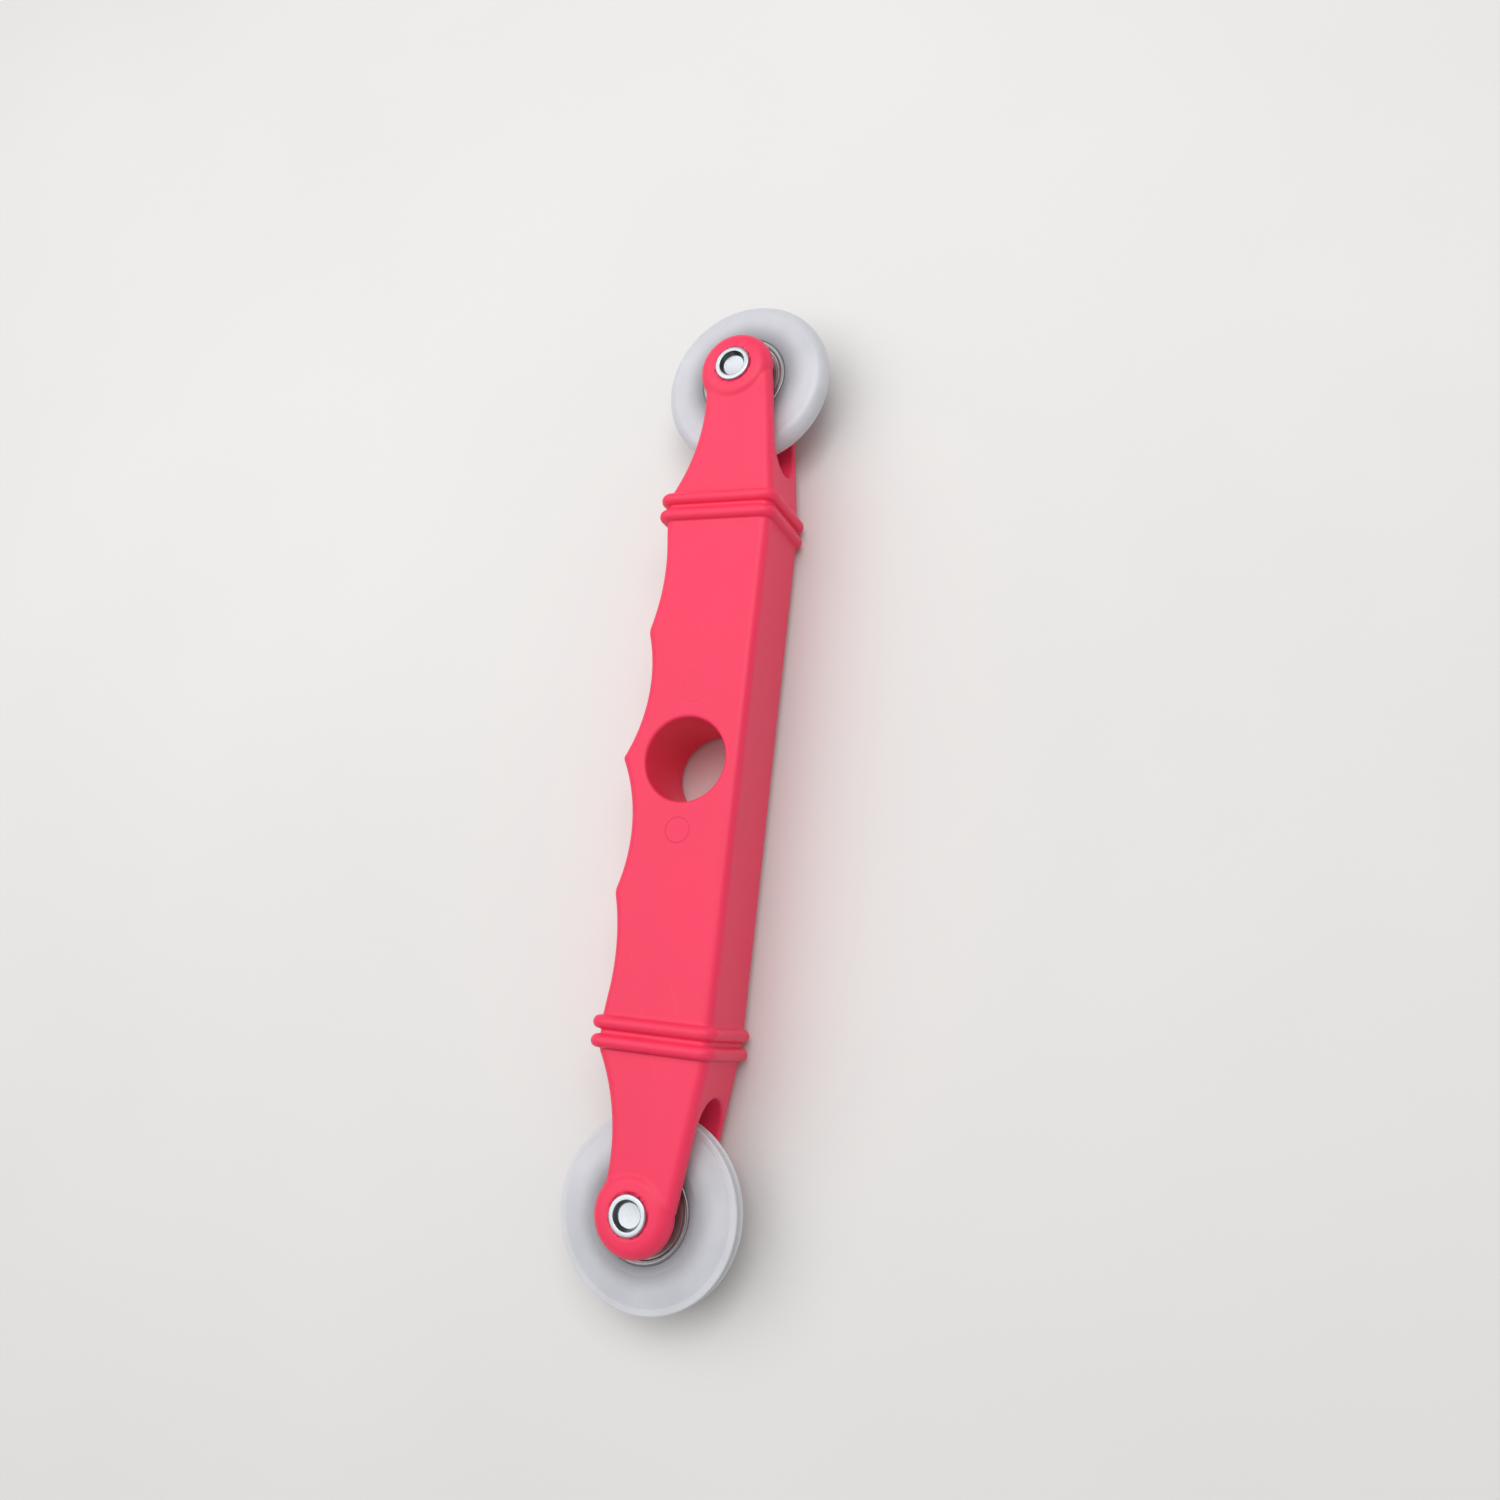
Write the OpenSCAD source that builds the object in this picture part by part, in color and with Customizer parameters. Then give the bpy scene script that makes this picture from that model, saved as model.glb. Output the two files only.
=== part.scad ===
// Double-ended hand roller: a one-piece moulded handle with a fork at each end, and in each fork
// a nylon wheel on a shielded ball bearing, held by a semi-tubular rivet.
// X runs across the handle (finger scallops at -X), Y runs along it, and the axles are along Z.
// The tool lies on the ribs of one side face, which are at Z = 0. The convex wheel is at +Y.

/* [Handle] */
// Distance between the two wheel axles
axle_span = 154; // [152:1:158]
// Thickness of the handle, along the axles
handle_t = 16.6; // [16.2:0.1:17]
// From the axle line to the straight back of the handle
back_x = 10.8; // [10.4:0.1:11.2]
// From the axle line to the bottom of the two finger scallops beside the middle
inner_valley_x = 9.35; // [9.2:0.05:9.6]
// Radius of those scallops
inner_scallop_r = 30; // [29:0.1:31]
// Place of those scallops along the handle, from its middle
inner_scallop_y = 14.1; // [13.8:0.1:14.5]
// From the axle line to the bottom of the two finger scallops beside the ribs
outer_valley_x = 9.35; // [9.2:0.05:9.6]
// Radius of those scallops
outer_scallop_r = 42; // [41:0.1:43]
// Place of those scallops along the handle, from its middle
outer_scallop_y = 35.9; // [35.7:0.1:36.3]
// From the axle line to the straight stretch under the ribs
rib_seat_x = 10.2; // [10:0.1:10.4]
// Rounding of the handle's long edges
edge_r = 2; // [1.6:0.1:2.2]
// Diameter of the hanging hole through the middle
hole_d = 15.3; // [14:0.1:16]

/* [Ribs] */
// From the middle of the handle to the rib nearest to it
rib_y = 46.7; // [46.4:0.1:47]
// Distance between the two ribs of a pair
rib_pitch = 3.2; // [3:0.1:3.3]
// Width of one rib
rib_w = 2.3; // [2:0.1:2.5]
// How far the ribs stand out from the handle's side faces and back
rib_h = 1.1; // [1:0.1:1.3]
// From the axle line to the ribs' ends on the scalloped side
rib_tip_x = 11.7; // [11.5:0.1:11.9]

/* [Forks] */
// Thickness over the two arms of a fork
arm_t = 15.6; // [15.4:0.1:16]
// Width of the slot that a wheel turns in
slot_w = 10.2; // [10:0.1:10.6]
// From an axle to the round end of its slot
slot_reach = 19.6; // [19:0.1:20]
// Radius of the round end of each arm, around the axle
arm_r = 7.2; // [7.1:0.05:7.4]
// Rounding of that end's edges
arm_end_edge_r = 2.5; // [2.2:0.1:2.6]
// Radius of the concave curve of each arm on the scalloped side
neck_r = 34.5; // [34:0.5:36]
// From the axle line to the narrowest place of the arm
neck_x = 5.6; // [5.4:0.1:5.8]
// From an axle to the narrowest place of the arm
neck_reach = 8.2; // [8:0.1:8.6]
// Height of the raised boss round each rivet
boss_h = 1; // [0.8:0.1:1.1]
// Radius of the round pad inside each arm, against the spacer
pad_r = 6; // [5.5:0.1:6.5]

/* [Wheels] */
// Diameter of both wheels
wheel_d = 33; // [32:0.1:33.6]
// Width of the convex wheel's full-round rim
convex_w = 4.9; // [4.6:0.1:5.1]
// Width of the grooved wheel's rim
grooved_w = 3.1; // [3:0.1:3.4]
// Width of the groove in the grooved wheel's rim
groove_w = 2.2; // [2:0.1:2.3]
// Depth of that groove
groove_d = 0.8; // [0.7:0.1:1]
// Thickness of both wheels around the bearing
hub_w = 5.6; // [5.2:0.1:5.8]
// Diameter of that thicker hub
hub_d = 20; // [19:0.1:20.5]

/* [Bearings] */
// Outer diameter of the ball bearing
bearing_od = 17; // [16.9:0.1:17.1]
// Bore of the ball bearing
bearing_bore = 6; // [5.9:0.1:6.1]
// Width of the ball bearing
bearing_w = 6; // [5.9:0.1:6.1]
// Diameter of one ball
ball_d = 3.2; // [3:0.1:3.3]
// Number of balls
ball_count = 7; // [6:1:7]
// Diameter of the circle of ball centres
pitch_d = 11.6; // [11.5:0.1:11.7]
// Outer diameter of the inner race beside its groove
inner_race_d = 9; // [8.8:0.1:9.1]
// Inner diameter of the outer race beside its groove
outer_race_d = 14.2; // [14.1:0.1:14.4]

/* [Rivets] */
// Diameter of the rivet's preformed head
rivet_head_d = 9.4; // [9:0.1:10]
// Height of that head
rivet_head_h = 1; // [0.8:0.1:1.1]
// Diameter of the rolled rim at the rivet's other end
roll_d = 6.8; // [6.7:0.1:7]
// Diameter of the hole in the rolled end
roll_hole_d = 5; // [4.8:0.1:5.2]
// Depth of that hole
roll_hole_depth = 1; // [0.8:0.1:1.6]

/* [Hidden] */
$fn = 96;

eps = 0.01;
far = 60;                           // longer than any cut has to be
over = 1;                           // how far a cutter runs on past the face it cuts
axle_y = axle_span / 2;
mid_z = handle_t / 2 + rib_h;       // the tool's middle plane, above the surface it lies on
half_t = handle_t / 2;
half_arm_t = arm_t / 2;
wheel_r = wheel_d / 2;
arm_y = rib_y + rib_pitch;          // the back bends and the arms begin under the outer ribs
step_y = arm_y + 0.4;               // where the full thickness ends, off the middle of the rib
cusp_stock_x = inner_valley_x + 4;  // stock that the scallops leave as cusps
seat_from_y = outer_scallop_y + 3;  // the straight stretch under the ribs starts in a scallop
seat_to_y = arm_y + 4;              // and ends in the neck
tip_stock_x = arm_r - 1;            // the blank ends inside the round arm end
tip_stock_y = axle_y - 3;
boss_top = half_arm_t + boss_h;     // from the middle plane
crown_r = 40;                       // of the boss's slightly crowned top
crown_fn = 720;                     // keeps that flat arc smooth
seat_gap = 0.15;                    // round the rivet's head and its rolled rim
rivet_seat = 0.6;                   // how deep the preformed head sits in its boss
rivet_seat_r = rivet_head_d / 2 + seat_gap;
roll_seat = 0.4;                    // how deep the rolled rim sits in its boss
roll_seat_r = roll_d / 2 + seat_gap;
rib_bend_r = 1.6;                   // of the rib's middle line, round the handle's edges
spacer_w = 1;
spacer_d = 8.8;
pad_h = (slot_w - bearing_w) / 2 - spacer_w;
shank_r = bearing_bore / 2;
race_play = 0.05;                   // between a ball and each race
race_groove_r = ball_d / 2 + race_play;
shield_w = 0.3;
shield_recess = 0.15;
shield_gap = 0.25;
shield_id = inner_race_d + 2 * shield_gap;
shield_od = 15.2;
cage_w = 4.2;
cage_in_d = 10.4;
cage_out_d = 12.8;
pocket_play = 0.1;

NYLON = [0.93, 0.93, 0.95];
RED = [0.82, 0.08, 0.17];
STEEL = [0.72, 0.73, 0.75];
ZINC = [0.82, 0.84, 0.86];
AMBER = [0.75, 0.68, 0.5];

// ---- shared shapes ----

// A plain ring around the axle
module ring(od, id, w, z = 0) {
    translate([0, 0, z]) difference() {
        cylinder(d = od, h = w, center = true);
        cylinder(d = id, h = w + over, center = true);
    }
}

// What follows, and its mirror image on the other side face
module both_faces() {
    children();
    mirror([0, 0, 1]) children();
}

// What follows, and its mirror image at the other end
module both_ends() {
    children();
    mirror([0, 1, 0]) children();
}

// Moves what follows onto the axle at one end: side is 1 for the convex wheel, -1 for the grooved one
module at_axle(side) {
    translate([0, side * axle_y, mid_z]) children();
}

// A round cutter whose rims flare out, which rounds the edges that it leaves at the height half
module flared_cutter(r, half) {
    rotate_extrude() {
        translate([0, -far / 2]) square([r, far]);
        for (flip = [0, 1]) mirror([0, flip]) difference() {
            translate([r - eps, half - edge_r]) square([edge_r + eps, edge_r + over]);
            translate([r + edge_r, half - edge_r]) circle(r = edge_r);
        }
    }
}

// A long cutter that rounds one straight edge, which runs along Y
module edge_cove(length) {
    rotate([90, 0, 0]) linear_extrude(length, center = true) difference() {
        translate([-edge_r, -edge_r]) square(edge_r + over);
        translate([-edge_r, -edge_r]) circle(r = edge_r);
    }
}

// ---- handle ----

// Outline of the handle before the scallops and necks are cut, seen along the axles
module blank_outline() {
    polygon([
        [-cusp_stock_x, outer_scallop_y], [-rib_seat_x, seat_from_y], [-rib_seat_x, seat_to_y],
        [-tip_stock_x, tip_stock_y], [0, axle_y], [arm_r, axle_y], [back_x, arm_y],
        [back_x, -arm_y], [arm_r, -axle_y], [0, -axle_y], [-tip_stock_x, -tip_stock_y],
        [-rib_seat_x, -seat_to_y], [-rib_seat_x, -seat_from_y], [-cusp_stock_x, -outer_scallop_y]
    ]);
}

// Cutters for the edges of the straight back and of the arms' tapering backs
module back_edges() {
    taper = atan((back_x - arm_r) / (axle_y - arm_y));
    both_faces() {
        translate([back_x, 0, half_t]) edge_cove(2 * arm_y);
        both_ends() translate([(back_x + arm_r) / 2, (arm_y + axle_y) / 2, half_arm_t])
            rotate([0, 0, taper]) edge_cove(axle_y - arm_y + 4 * over);
    }
}

// The handle without its ribs, round arm ends, slots and holes
module handle_core() {
    difference() {
        union() {
            linear_extrude(arm_t, center = true) blank_outline();
            intersection() {
                linear_extrude(handle_t, center = true) blank_outline();
                cube([far, 2 * step_y, far], center = true);
            }
        }
        both_ends() {
            translate([-inner_valley_x - inner_scallop_r, inner_scallop_y, 0])
                flared_cutter(inner_scallop_r, half_t);
            translate([-outer_valley_x - outer_scallop_r, outer_scallop_y, 0])
                flared_cutter(outer_scallop_r, half_t);
            translate([-neck_x - neck_r, axle_y - neck_reach, 0])
                flared_cutter(neck_r, half_arm_t);
        }
        back_edges();
    }
}

// One round end of both arms, with a raised boss on each face, crowned and round-edged
module arm_end() {
    edge_x = arm_r - arm_end_edge_r;
    crown_z = boss_top - crown_r;
    edge_z = crown_z + sqrt((crown_r - arm_end_edge_r) ^ 2 - edge_x ^ 2);
    rotate_extrude() {
        translate([0, -edge_z]) square([arm_r, 2 * edge_z]);
        for (flip = [0, 1]) mirror([0, flip]) {
            intersection() {
                translate([edge_x, edge_z]) circle(r = arm_end_edge_r);
                square([arm_r, boss_top]);
            }
            intersection() {
                translate([0, crown_z]) circle(r = crown_r, $fn = crown_fn);
                square([edge_x * crown_r / (crown_r - arm_end_edge_r), boss_top]);
            }
        }
    }
}

// One half-round rib, a band right round the handle
module rib() {
    r = rib_w / 2;
    left = -rib_tip_x + r + rib_bend_r;
    right = back_x + rib_h - r - rib_bend_r;
    z = half_t + rib_h - r - rib_bend_r;
    for (bend_x = [left, right], bend_z = [-z, z]) translate([bend_x, 0, bend_z]) rotate([90, 0, 0])
        rotate_extrude() translate([rib_bend_r, 0]) circle(r = r);
    for (bar_z = [-z - rib_bend_r, z + rib_bend_r]) translate([left, 0, bar_z])
        rotate([0, 90, 0]) cylinder(r = r, h = right - left);
    for (bar_x = [left - rib_bend_r, right + rib_bend_r]) translate([bar_x, 0, 0])
        cylinder(r = r, h = 2 * z, center = true);
}

// The slot of one fork, with its round end and the pads that are left on both arms
module wheel_slot() {
    reach = slot_reach - slot_w / 2;
    difference() {
        union() {
            translate([0, -reach, 0]) rotate([0, 90, 0]) cylinder(d = slot_w, h = far, center = true);
            translate([-far / 2, -reach, -slot_w / 2]) cube([far, far, slot_w]);
        }
        both_faces() translate([0, 0, slot_w / 2 - pad_h]) cylinder(r = pad_r, h = pad_h + over);
    }
}

module handle() color(RED) translate([0, 0, mid_z]) {
    difference() {
        union() {
            handle_core();
            both_ends() {
                translate([0, axle_y, 0]) arm_end();
                for (i = [0, 1]) translate([0, rib_y + i * rib_pitch, 0]) rib();
            }
        }
        both_ends() translate([0, axle_y, 0]) {
            wheel_slot();
            cylinder(r = shank_r, h = far, center = true);
            translate([0, 0, -boss_top - over]) cylinder(r = rivet_seat_r, h = rivet_seat + over);
            translate([0, 0, boss_top - roll_seat]) cylinder(r = roll_seat_r, h = roll_seat + over);
        }
        cylinder(d = hole_d, h = far, center = true);
    }
}

// ---- wheels ----

// Section of a wheel from its bearing out to where its rim begins
module web_section(rim_r, half_w) {
    bore_r = bearing_od / 2;
    polygon([
        [bore_r, -hub_w / 2], [hub_d / 2, -hub_w / 2], [rim_r, -half_w],
        [rim_r, half_w], [hub_d / 2, hub_w / 2], [bore_r, hub_w / 2]
    ]);
}

module convex_tyre() color(NYLON) at_axle(1) {
    nose_r = convex_w / 2;
    rotate_extrude() {
        web_section(wheel_r - nose_r, nose_r);
        intersection() {
            translate([wheel_r - nose_r, 0]) circle(r = nose_r);
            translate([wheel_r - nose_r - eps, -nose_r]) square(convex_w);
        }
    }
}

module grooved_tyre() color(NYLON) at_axle(-1) {
    half_w = grooved_w / 2;
    lip_r = (grooved_w - groove_w) / 4;
    groove_r = (groove_w * groove_w / 4 + groove_d * groove_d) / (2 * groove_d);
    rotate_extrude() difference() {
        union() {
            web_section(wheel_r - lip_r, half_w);
            for (z = [-1, 1]) translate([wheel_r - lip_r, z * (half_w - lip_r)]) circle(r = lip_r);
        }
        translate([wheel_r - groove_d + groove_r, 0]) circle(r = groove_r);
    }
}

// ---- bearings, the same at each end ----

module outer_race(side) color(STEEL) at_axle(side) {
    rotate_extrude() difference() {
        translate([outer_race_d / 2, -bearing_w / 2])
            square([(bearing_od - outer_race_d) / 2, bearing_w]);
        translate([pitch_d / 2, 0]) circle(r = race_groove_r);
        for (flip = [0, 1]) mirror([0, flip])
            translate([0, bearing_w / 2 - shield_recess - shield_w]) square([shield_od / 2, shield_w + over]);
    }
}

module inner_race(side) color(STEEL) at_axle(side) {
    rotate_extrude() difference() {
        translate([shank_r, -bearing_w / 2]) square([inner_race_d / 2 - shank_r, bearing_w]);
        translate([pitch_d / 2, 0]) circle(r = race_groove_r);
    }
}

module balls(side) color(STEEL) at_axle(side) {
    for (i = [0 : ball_count - 1]) rotate([0, 0, i * 360 / ball_count])
        translate([pitch_d / 2, 0, 0]) sphere(d = ball_d);
}

module ball_cage(side) color(AMBER) at_axle(side) {
    difference() {
        ring(cage_out_d, cage_in_d, cage_w);
        for (i = [0 : ball_count - 1]) rotate([0, 90, i * 360 / ball_count])
            cylinder(r = ball_d / 2 + pocket_play, h = cage_out_d);
    }
}

module shield(side, face) color(STEEL) at_axle(side) {
    ring(shield_od, shield_id, shield_w, face * (bearing_w / 2 - shield_recess - shield_w / 2));
}

module spacer(side, face) color(ZINC) at_axle(side) {
    ring(spacer_d, bearing_bore, spacer_w, face * (bearing_w + spacer_w) / 2);
}

// The axle: a semi-tubular rivet, its preformed head below and its rolled rim on top
module rivet(side) color(ZINC) at_axle(side) {
    head_z = rivet_seat - boss_top;
    roll_z = boss_top - roll_seat;
    head_r = rivet_head_d / 2;
    head_crown_r = (head_r * head_r + rivet_head_h * rivet_head_h) / (2 * rivet_head_h);
    wall = (roll_d - roll_hole_d) / 2;
    difference() {
        union() {
            translate([0, 0, head_z]) cylinder(r = shank_r, h = roll_z - head_z + eps);
            intersection() {
                translate([0, 0, head_z - rivet_head_h]) cylinder(r = head_r, h = rivet_head_h);
                translate([0, 0, head_z - rivet_head_h + head_crown_r]) sphere(r = head_crown_r);
            }
            translate([0, 0, roll_z]) rotate_extrude() {
                square([(roll_d - wall) / 2, wall / 2]);
                intersection() {
                    translate([(roll_d - wall) / 2, 0]) circle(d = wall);
                    square(roll_d);
                }
            }
        }
        translate([0, 0, boss_top - roll_hole_depth]) cylinder(d = roll_hole_d, h = far);
    }
}

handle();
convex_tyre();
outer_race(1);  // convex_outer_race
inner_race(1);  // convex_inner_race
balls(1);  // convex_balls
ball_cage(1);  // convex_ball_cage
shield(1, 1);  // convex_shield_top
shield(1, -1);  // convex_shield_bottom
spacer(1, 1);  // convex_spacer_top
spacer(1, -1);  // convex_spacer_bottom
rivet(1);  // convex_rivet
grooved_tyre();
outer_race(-1);  // grooved_outer_race
inner_race(-1);  // grooved_inner_race
balls(-1);  // grooved_balls
ball_cage(-1);  // grooved_ball_cage
shield(-1, 1);  // grooved_shield_top
shield(-1, -1);  // grooved_shield_bottom
spacer(-1, 1);  // grooved_spacer_top
spacer(-1, -1);  // grooved_spacer_bottom
rivet(-1);  // grooved_rivet
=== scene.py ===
"""Finish pieces, materials, stage and camera for a double-ended screen spline roller."""

import math

import bpy
import numpy as np
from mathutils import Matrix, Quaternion, Vector


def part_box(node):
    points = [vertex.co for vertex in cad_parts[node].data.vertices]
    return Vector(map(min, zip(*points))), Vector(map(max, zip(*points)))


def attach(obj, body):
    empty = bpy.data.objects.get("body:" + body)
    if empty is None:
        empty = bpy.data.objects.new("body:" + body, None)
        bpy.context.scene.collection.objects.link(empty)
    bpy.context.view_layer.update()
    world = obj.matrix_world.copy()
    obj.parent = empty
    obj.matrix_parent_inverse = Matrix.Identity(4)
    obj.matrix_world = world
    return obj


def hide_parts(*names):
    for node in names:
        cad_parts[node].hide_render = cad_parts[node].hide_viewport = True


bl_info = {
    "name": "Spline roller finish",
    "version": (1, 0, 0),
    "blender": (4, 5, 0),
    "location": "3D View > Sidebar > Spline roller",
    "description": "Builds the finished look of a double-ended screen spline roller",
    "category": "Object",
}

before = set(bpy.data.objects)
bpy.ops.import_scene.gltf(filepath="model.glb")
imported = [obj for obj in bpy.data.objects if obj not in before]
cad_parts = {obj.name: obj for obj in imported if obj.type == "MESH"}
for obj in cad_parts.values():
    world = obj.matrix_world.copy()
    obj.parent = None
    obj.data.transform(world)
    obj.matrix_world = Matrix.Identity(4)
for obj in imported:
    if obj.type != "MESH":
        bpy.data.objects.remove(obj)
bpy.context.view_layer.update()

MM = 0.001
GRIP_THICKNESS = 16.6 * MM


def node_middle(node):
    """Middle of a CAD node's box."""
    low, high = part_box(node)
    return (low + high) / 2


AXLES = {"convex": node_middle("convex_outer_race"), "grooved": node_middle("grooved_outer_race")}
MIDDLE = (AXLES["convex"] + AXLES["grooved"]) / 2
AXLE_Y = AXLES["convex"].y / MM
GRIP_TOP = MIDDLE.z + GRIP_THICKNESS / 2


# ---------------------------------------------------------------- settings

class HandleSettings(bpy.types.PropertyGroup):
    """Sizes and colour of the moulded handle"""

    grip_thickness: bpy.props.FloatProperty(
        name="Grip thickness", description="Thickness of the grip, along the axles",
        default=GRIP_THICKNESS, unit="LENGTH")
    arm_thickness: bpy.props.FloatProperty(
        name="Arm thickness", description="Thickness over the two arms of a fork",
        default=15.6 * MM, unit="LENGTH")
    boss_height: bpy.props.FloatProperty(
        name="Boss height", description="How far the boss round a rivet stands above its arm",
        default=1.0 * MM, unit="LENGTH")
    edge_radius: bpy.props.FloatProperty(
        name="Edge radius", description="Rounding of the long edges along the finger scallops",
        default=2.0 * MM, unit="LENGTH")
    back_edge_radius: bpy.props.FloatProperty(
        name="Back edge radius", description="Rounding of the long edges along the straight back",
        default=1.7 * MM, unit="LENGTH")
    boss_edge_radius: bpy.props.FloatProperty(
        name="Boss edge radius", description="Rounding of the arms' round ends",
        default=2.2 * MM, unit="LENGTH")
    cell: bpy.props.FloatProperty(
        name="Cell", description="Size of the mesh cells that the handle is skinned with",
        default=0.46 * MM, unit="LENGTH")
    colour: bpy.props.FloatVectorProperty(
        name="Plastic colour", description="Crimson of the moulded handle",
        default=(0.86, 0.038, 0.110), subtype="COLOR", min=0, max=1)


class WheelSettings(bpy.types.PropertyGroup):
    """Sizes and colour of the nylon wheels"""

    diameter: bpy.props.FloatProperty(
        name="Wheel diameter", description="Outer diameter of both wheels",
        default=33 * MM, unit="LENGTH")
    convex_width: bpy.props.FloatProperty(
        name="Convex rim width", description="Width of the round-nosed rim",
        default=4.9 * MM, unit="LENGTH")
    grooved_width: bpy.props.FloatProperty(
        name="Grooved rim width", description="Width of the rim that has a groove",
        default=3.1 * MM, unit="LENGTH")
    segments: bpy.props.IntProperty(
        name="Segments", description="Facets round each turned piece", default=192, min=24)
    colour: bpy.props.FloatVectorProperty(
        name="Nylon colour", description="Milky white of the nylon",
        default=(0.65, 0.665, 0.71), subtype="COLOR", min=0, max=1)


class MetalSettings(bpy.types.PropertyGroup):
    """Colours of the metal pieces and the bearing cages"""

    zinc: bpy.props.FloatVectorProperty(
        name="Zinc colour", description="Bright zinc plate of the rivets and spacers",
        default=(0.50, 0.53, 0.56), subtype="COLOR", min=0, max=1)
    steel: bpy.props.FloatVectorProperty(
        name="Bearing steel colour", description="Ground steel of the bearing rings",
        default=(0.40, 0.40, 0.41), subtype="COLOR", min=0, max=1)
    cage: bpy.props.FloatVectorProperty(
        name="Cage colour", description="Amber polyamide of the ball cages",
        default=(0.62, 0.47, 0.24), subtype="COLOR", min=0, max=1)


class StageSettings(bpy.types.PropertyGroup):
    """Floor, lights and camera"""

    floor_colour: bpy.props.FloatVectorProperty(
        name="Floor colour", description="Pale floor", default=(0.74, 0.735, 0.725),
        subtype="COLOR", min=0, max=1)
    key_power: bpy.props.FloatProperty(
        name="Key light", description="Power of the large soft light", default=1.5, unit="POWER")
    fill_power: bpy.props.FloatProperty(
        name="Fill light", description="Power of the wide light that the flat metal faces reflect",
        default=2.0, unit="POWER")
    sky: bpy.props.FloatProperty(
        name="Surround light", description="Brightness of the even light all round", default=0.45)
    lens: bpy.props.FloatProperty(
        name="Focal length", description="Focal length in millimetres on a 36 mm wide sensor",
        default=29.194)


# ---------------------------------------------------------------- handle

# Sizes in mm, about the handle's middle: X across it, Y along it and Z along the axles
SLOT_HALF = 5.1
SLOT_REACH = 19.6
PAD_TOP, PAD_RADIUS = 4.0, 6.0
HANG_HOLE_RADIUS = 7.65
BACK_X = 10.8
RIB_SEAT_X = 10.2
RIB_TIP_X = 11.7
RIB_RADIUS, RIB_HEIGHT = 1.15, 1.1
RIB_BEND = 1.6
RIB_NEAR_Y, RIB_PITCH = 46.7, 3.2
ARM_Y = RIB_NEAR_Y + RIB_PITCH
ARM_STEP = 1.2
ARM_RADIUS = 7.2
CROWN_RADIUS = 40.0
VALLEY_X = 9.35
CUSP_STOCK_X = VALLEY_X + 4.05
SKIN_LOW, SKIN_HIGH = (-14.2, -86.1, -10.6), (13.6, 86.1, 10.6)

# Round cuts in the outline: X and Y of the middle, and the radius
INNER_SCALLOP = (-VALLEY_X - 30.0, 14.1, 30.0)
OUTER_SCALLOP = (-VALLEY_X - 42.0, 35.9, 42.0)
NECK = (-5.6 - 34.5, 68.8, 34.5)
NECK_FROM_Y = 40.0

# Seats and hole of a rivet
SHANK_HOLE_RADIUS = 3.02
ROLL_SEAT_RADIUS, ROLL_SEAT_DEPTH = 3.55, 0.4
HEAD_SEAT_RADIUS, HEAD_SEAT_DEPTH = 4.85, 0.6

# How wide the rounded changeovers between faces are
BACK_BLEND = 0.6
MIDDLE_CUSP_BLEND, CUSP_BLEND = 0.3, 0.5
BOSS_BLEND, RIB_BLEND = 0.32, 0.3
PAD_EDGE, SLOT_BLEND = 0.3, 0.5
RIVET_HOLE_BLEND, HANG_HOLE_BLEND = 0.5, 0.7


def blend_max(a, b, k):
    """Larger of two distances, with a rounded changeover k wide: rounds an outside edge."""
    h = np.maximum(k - np.abs(a - b), 0) / k
    return np.maximum(a, b) + h * h * k / 4


def blend_min(a, b, k):
    """Smaller of two distances, with a rounded changeover k wide: fillets an inside corner."""
    return -blend_max(-a, -b, k)


def round_edge(a, b, r):
    """Distance to where two faces at a and b meet in an edge of radius r."""
    qa, qb = a + r, b + r
    return np.minimum(np.maximum(qa, qb), 0) + np.hypot(np.maximum(qa, 0), np.maximum(qb, 0)) - r


def cut_round(x, y, circle):
    """Distance that keeps what lies outside a round cut."""
    cx, cy, r = circle
    return r - np.hypot(x - cx, y - cy)


def grip_outline(x, y):
    """Distance to the outline of the grip and arms, seen along the axles, without the round ends."""
    a = np.abs(y)
    turn = math.atan((BACK_X - ARM_RADIUS) / (AXLE_Y - ARM_Y))
    taper = (x - BACK_X) * math.cos(turn) + (a - ARM_Y) * math.sin(turn)
    back = blend_max(x - BACK_X, taper, BACK_BLEND)
    stock = np.where(a < OUTER_SCALLOP[1], -CUSP_STOCK_X - x, -RIB_SEAT_X - x)
    d = np.maximum(np.maximum(back, stock), a - AXLE_Y + 1)
    cx, cy, r = INNER_SCALLOP
    inner = blend_max(cut_round(x, y, (cx, cy, r)), cut_round(x, y, (cx, -cy, r)), MIDDLE_CUSP_BLEND)
    scallops = blend_max(inner, cut_round(x, a, OUTER_SCALLOP), CUSP_BLEND)
    neck = np.where(a > NECK_FROM_Y, cut_round(x, a, NECK), -10.0)
    return np.maximum(blend_max(d, scallops, CUSP_BLEND), neck)


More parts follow.
